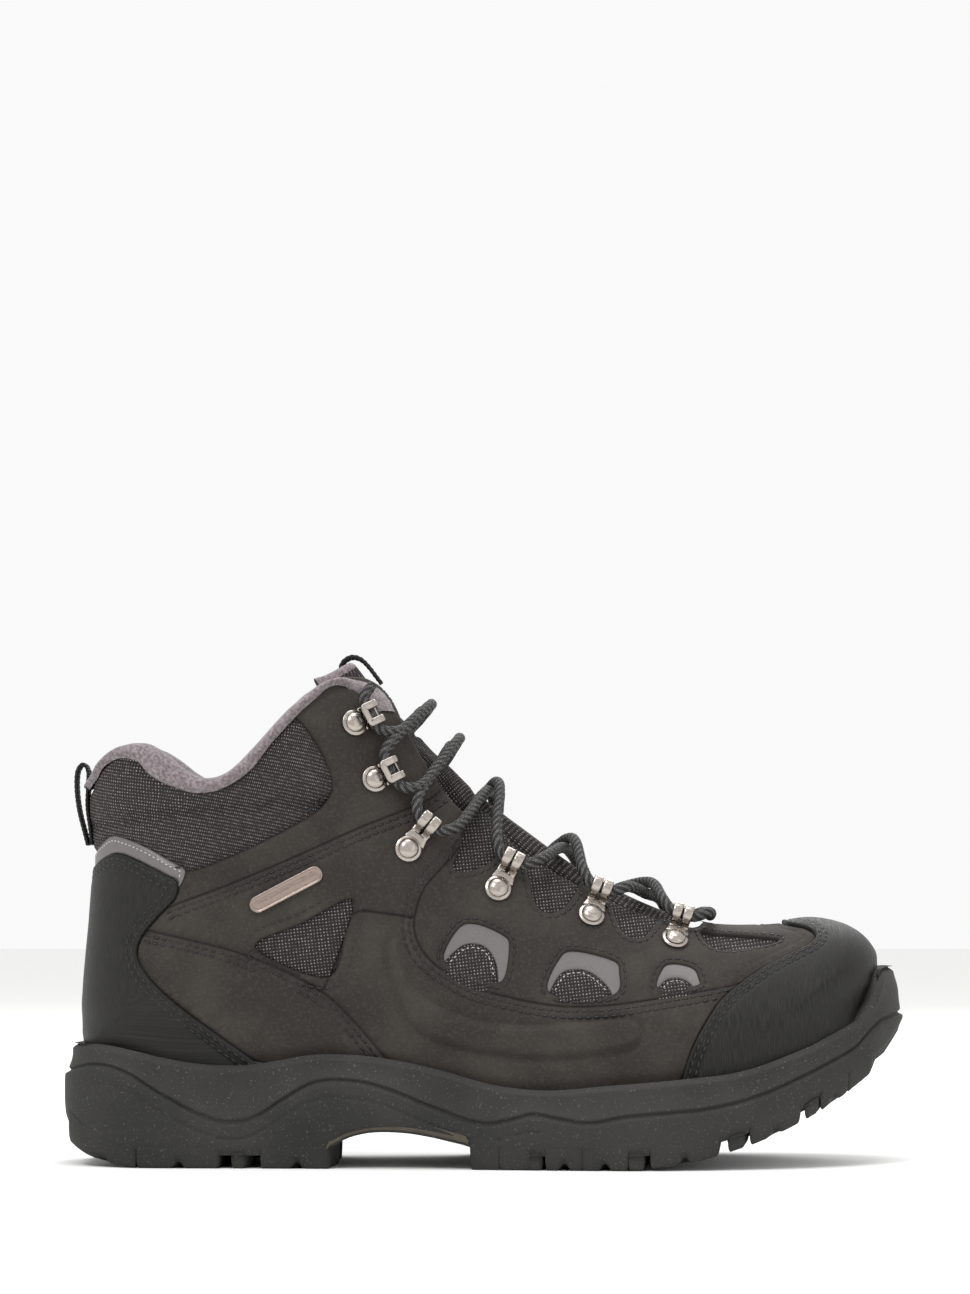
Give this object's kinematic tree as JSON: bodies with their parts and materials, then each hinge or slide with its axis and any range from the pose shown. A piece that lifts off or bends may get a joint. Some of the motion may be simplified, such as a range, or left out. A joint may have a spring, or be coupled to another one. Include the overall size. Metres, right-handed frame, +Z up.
{
  "type": "hiking boot",
  "caption": "Mid-cut laced hiking boot for the right foot: lugged rubber sole, padded collar, leather and mesh panels, metal lace loops and speed hooks",
  "frame": {"origin": "centre of the boot's footprint box, on the ground under the tread", "axes": "+X to the toe, +Y to the inner (medial) side, +Z up"},
  "size_m": [0.31, 0.111, 0.1876],
  "materials": {
    "nubuck": "charcoal-brown nubuck, brushed matt",
    "coated_leather": "black polyurethane-coated leather with a fine brushed grain",
    "reflective_fabric": "grey glass-bead reflective tape, satin",
    "spacer_mesh": "woven polyester mesh, dark brown-black with pale dots",
    "fleece": "brushed mauve-grey fleece",
    "foam": "fabric-faced foam",
    "thermoplastic": "plain moulded sheet",
    "fibreboard": "pressed cellulose board",
    "rubber": "matt moulded rubber",
    "arch_plate": "brownish moulded thermoplastic",
    "midsole_foam": "matt moulded foam rubber",
    "webbing": "black woven polyester webbing",
    "pewter": "blank satin pewter-toned plate",
    "nickel_steel": "satin nickel-plated pressed steel",
    "lace": "round braided polyester, black with pale flecks"
  },
  "bodies": {
    "boot": {"shaft_panel_lateral": "nubuck", "shaft_panel_medial": "nubuck", "ankle_panel_lateral": "nubuck", "ankle_panel_medial": "nubuck", "heel_quarter_lateral": "nubuck", "heel_quarter_medial": "nubuck", "side_panel_lateral": "nubuck", "side_panel_medial": "nubuck", "lace_panel": "nubuck", "heel_counter": "coated_leather", "toe_cap": "coated_leather", "heel_trim": "reflective_fabric", "window_strip_lateral": "reflective_fabric", "window_strip_medial": "reflective_fabric", "collar_mesh": "spacer_mesh", "ankle_mesh_lateral": "spacer_mesh", "ankle_mesh_medial": "spacer_mesh", "vamp_mesh_lateral": "spacer_mesh", "vamp_mesh_medial": "spacer_mesh", "lining": "fleece", "vamp_lining": "fleece", "collar_foam": "foam", "heel_stiffener": "thermoplastic", "toe_puff": "thermoplastic", "insole_board": "fibreboard", "outsole": "rubber", "arch_plate": "arch_plate", "midsole": "midsole_foam", "badge": "pewter", "lace_loop_1_lateral": "nickel_steel", "lace_loop_2_lateral": "nickel_steel", "lace_loop_3_lateral": "nickel_steel", "lace_loop_4_lateral": "nickel_steel", "lace_hook_1_lateral": "nickel_steel", "lace_hook_2_lateral": "nickel_steel", "lace_loop_1_medial": "nickel_steel", "lace_loop_2_medial": "nickel_steel", "lace_loop_3_medial": "nickel_steel", "lace_loop_4_medial": "nickel_steel", "lace_hook_1_medial": "nickel_steel", "lace_hook_2_medial": "nickel_steel", "rivet_lace_loop_1_lateral": "nickel_steel", "rivet_lace_loop_2_lateral": "nickel_steel", "rivet_lace_loop_3_lateral": "nickel_steel", "rivet_lace_loop_4_lateral": "nickel_steel", "rivet_lace_hook_1_lateral": "nickel_steel", "rivet_lace_hook_2_lateral": "nickel_steel", "rivet_lace_loop_1_medial": "nickel_steel", "rivet_lace_loop_2_medial": "nickel_steel", "rivet_lace_loop_3_medial": "nickel_steel", "rivet_lace_loop_4_medial": "nickel_steel", "rivet_lace_hook_1_medial": "nickel_steel", "rivet_lace_hook_2_medial": "nickel_steel", "lace": "lace"},
    "tongue": {"tongue": "nubuck", "tongue_pull_loop": "webbing"},
    "heel_loop": {"heel_pull_loop": "webbing"},
    "footbed": {"footbed": "foam"}
  },
  "joints": [
    {"name": "tongue_hinge", "type": "hinge", "parent": "boot", "child": "tongue", "pos_m": [0.072, 0.001, 0.086], "axis": [0, 1, 0], "range_deg": [-12, 0]},
    {"name": "heel_loop_hinge", "type": "hinge", "parent": "boot", "child": "heel_loop", "pos_m": [-0.1459, 0, 0.1177], "axis": [0, -1, 0], "range_deg": [0, 60]},
    {"name": "footbed_lift", "type": "hinge", "parent": "boot", "child": "footbed", "pos_m": [0.139, 0.009, 0.054], "axis": [0, 1, 0], "range_deg": [0, 8]}
  ]
}
